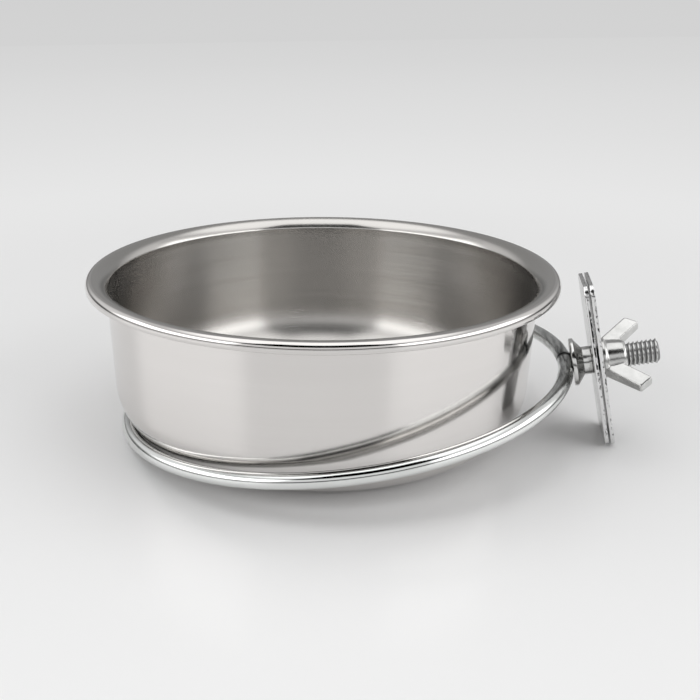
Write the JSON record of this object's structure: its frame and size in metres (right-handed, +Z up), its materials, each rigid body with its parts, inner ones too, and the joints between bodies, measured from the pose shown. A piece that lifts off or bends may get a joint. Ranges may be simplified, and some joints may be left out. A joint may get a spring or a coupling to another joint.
{
  "type": "seed cup",
  "caption": "Shallow drawn steel seed cup with a rolled rim, standing in a round wire ring that carries a wing-nut clamp with flat plates for gripping cage bars.",
  "frame": {"origin": "centre of the underside of the cup's base, on the surface the cup stands on", "axes": "+Z up along the cup's axis; +X from the cup towards the clamp on the ring; +Y makes it right-handed"},
  "size_m": [0.1813, 0.15, 0.0522],
  "materials": {
    "cup_steel": "drawn stainless sheet, brushed round the cup, with a polished rim",
    "wire_plating": "bright nickel plating on round wire",
    "weld_metal": "rough resistance weld under plating",
    "bolt_plating": "bright nickel plating over a turned head and a rolled thread",
    "plate_plating": "bright nickel plating on punched sheet with sheared edges",
    "nut_plating": "nickel plating over a cast skin, slightly satin"
  },
  "bodies": {
    "holder": {"ring_wire": "wire_plating", "weld_nugget": "weld_metal", "clamp_bolt": "bolt_plating"},
    "cup": {"cup": "cup_steel"},
    "inner_plate": {"inner_plate": "plate_plating"},
    "outer_plate": {"outer_plate": "plate_plating"},
    "wing_nut": {"wing_nut": "nut_plating"}
  },
  "joints": [
    {"name": "cup_lift", "type": "slide", "parent": "holder", "child": "cup", "axis": [0, 0, 1], "range_m": [0, 0.065]},
    {"name": "inner_plate_swivel", "type": "hinge", "parent": "holder", "child": "inner_plate", "pos_m": [0.08726, 0, 0.02577], "axis": [0.9726, 0, 0.2325], "continuous": true},
    {"name": "outer_plate_slide", "type": "slide", "parent": "holder", "child": "outer_plate", "axis": [0.9726, 0, 0.2325], "range_m": [0, 0.009]},
    {"name": "wing_nut_turn", "type": "hinge", "parent": "outer_plate", "child": "wing_nut", "pos_m": [0.08954, 0, 0.02631], "axis": [0.9726, 0, 0.2325], "range_deg": [0, 2590]}
  ],
  "couplings": [
    {"joint": "outer_plate_slide", "follows": "wing_nut_turn", "m_per_rad": 0.00019894}
  ]
}
